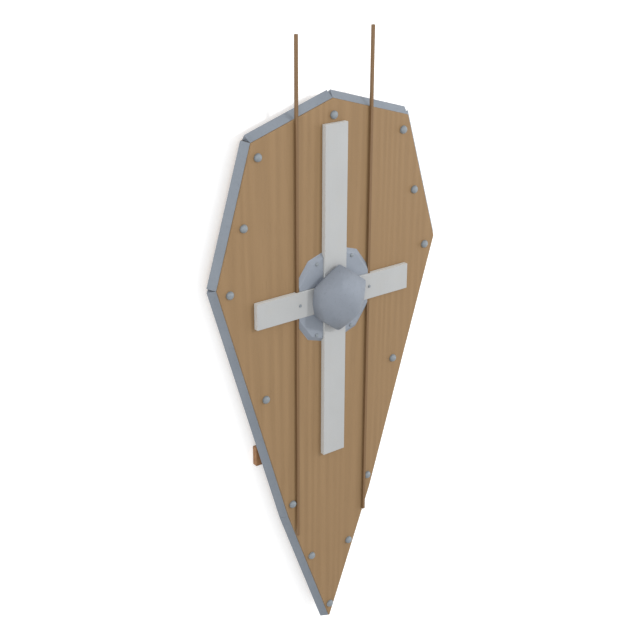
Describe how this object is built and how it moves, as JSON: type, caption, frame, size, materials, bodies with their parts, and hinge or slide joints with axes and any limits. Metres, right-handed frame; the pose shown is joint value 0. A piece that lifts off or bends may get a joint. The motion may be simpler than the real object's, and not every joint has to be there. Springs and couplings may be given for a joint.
{
  "type": "kite shield",
  "caption": "Long wooden kite shield lying on its back, with steel edging, nail heads, a painted plain cross and a faceted steel boss.",
  "frame": {"origin": "middle of the bounding box, on the ground under the two back battens", "axes": "+Z out of the shield's front, +Y along the shield from its point to its top, +X to the right as seen from the front"},
  "size_m": [0.5776, 1.3348, 0.107],
  "materials": {
    "board_wood": "light brown wood, oiled",
    "lath_wood": "dark brown wood",
    "batten_wood": "reddish brown wood",
    "cross_paint": "off-white paint on wood",
    "forged_steel": "blue-grey forged steel"
  },
  "bodies": {
    "root": {"board": "board_wood", "lath_left": "lath_wood", "lath_right": "lath_wood", "batten_upper": "batten_wood", "batten_lower": "batten_wood", "cross_arm_upper": "cross_paint", "cross_arm_lower": "cross_paint", "cross_arm_left": "cross_paint", "cross_arm_right": "cross_paint", "boss": "forged_steel", "boss_rivet_1": "forged_steel", "boss_rivet_2": "forged_steel", "boss_rivet_3": "forged_steel", "boss_rivet_4": "forged_steel", "boss_rivet_5": "forged_steel", "boss_rivet_6": "forged_steel", "edging_top_left": "forged_steel", "edging_top_right": "forged_steel", "edging_side_left": "forged_steel", "edging_side_right": "forged_steel", "edging_flank_left": "forged_steel", "edging_flank_right": "forged_steel", "edging_foot_left": "forged_steel", "edging_foot_right": "forged_steel", "nail_apex": "forged_steel", "nail_point": "forged_steel", "nail_left_1": "forged_steel", "nail_left_2": "forged_steel", "nail_left_3": "forged_steel", "nail_left_4": "forged_steel", "nail_left_5": "forged_steel", "nail_left_6": "forged_steel", "nail_right_1": "forged_steel", "nail_right_2": "forged_steel", "nail_right_3": "forged_steel", "nail_right_4": "forged_steel", "nail_right_5": "forged_steel", "nail_right_6": "forged_steel"}
  },
  "joints": []
}
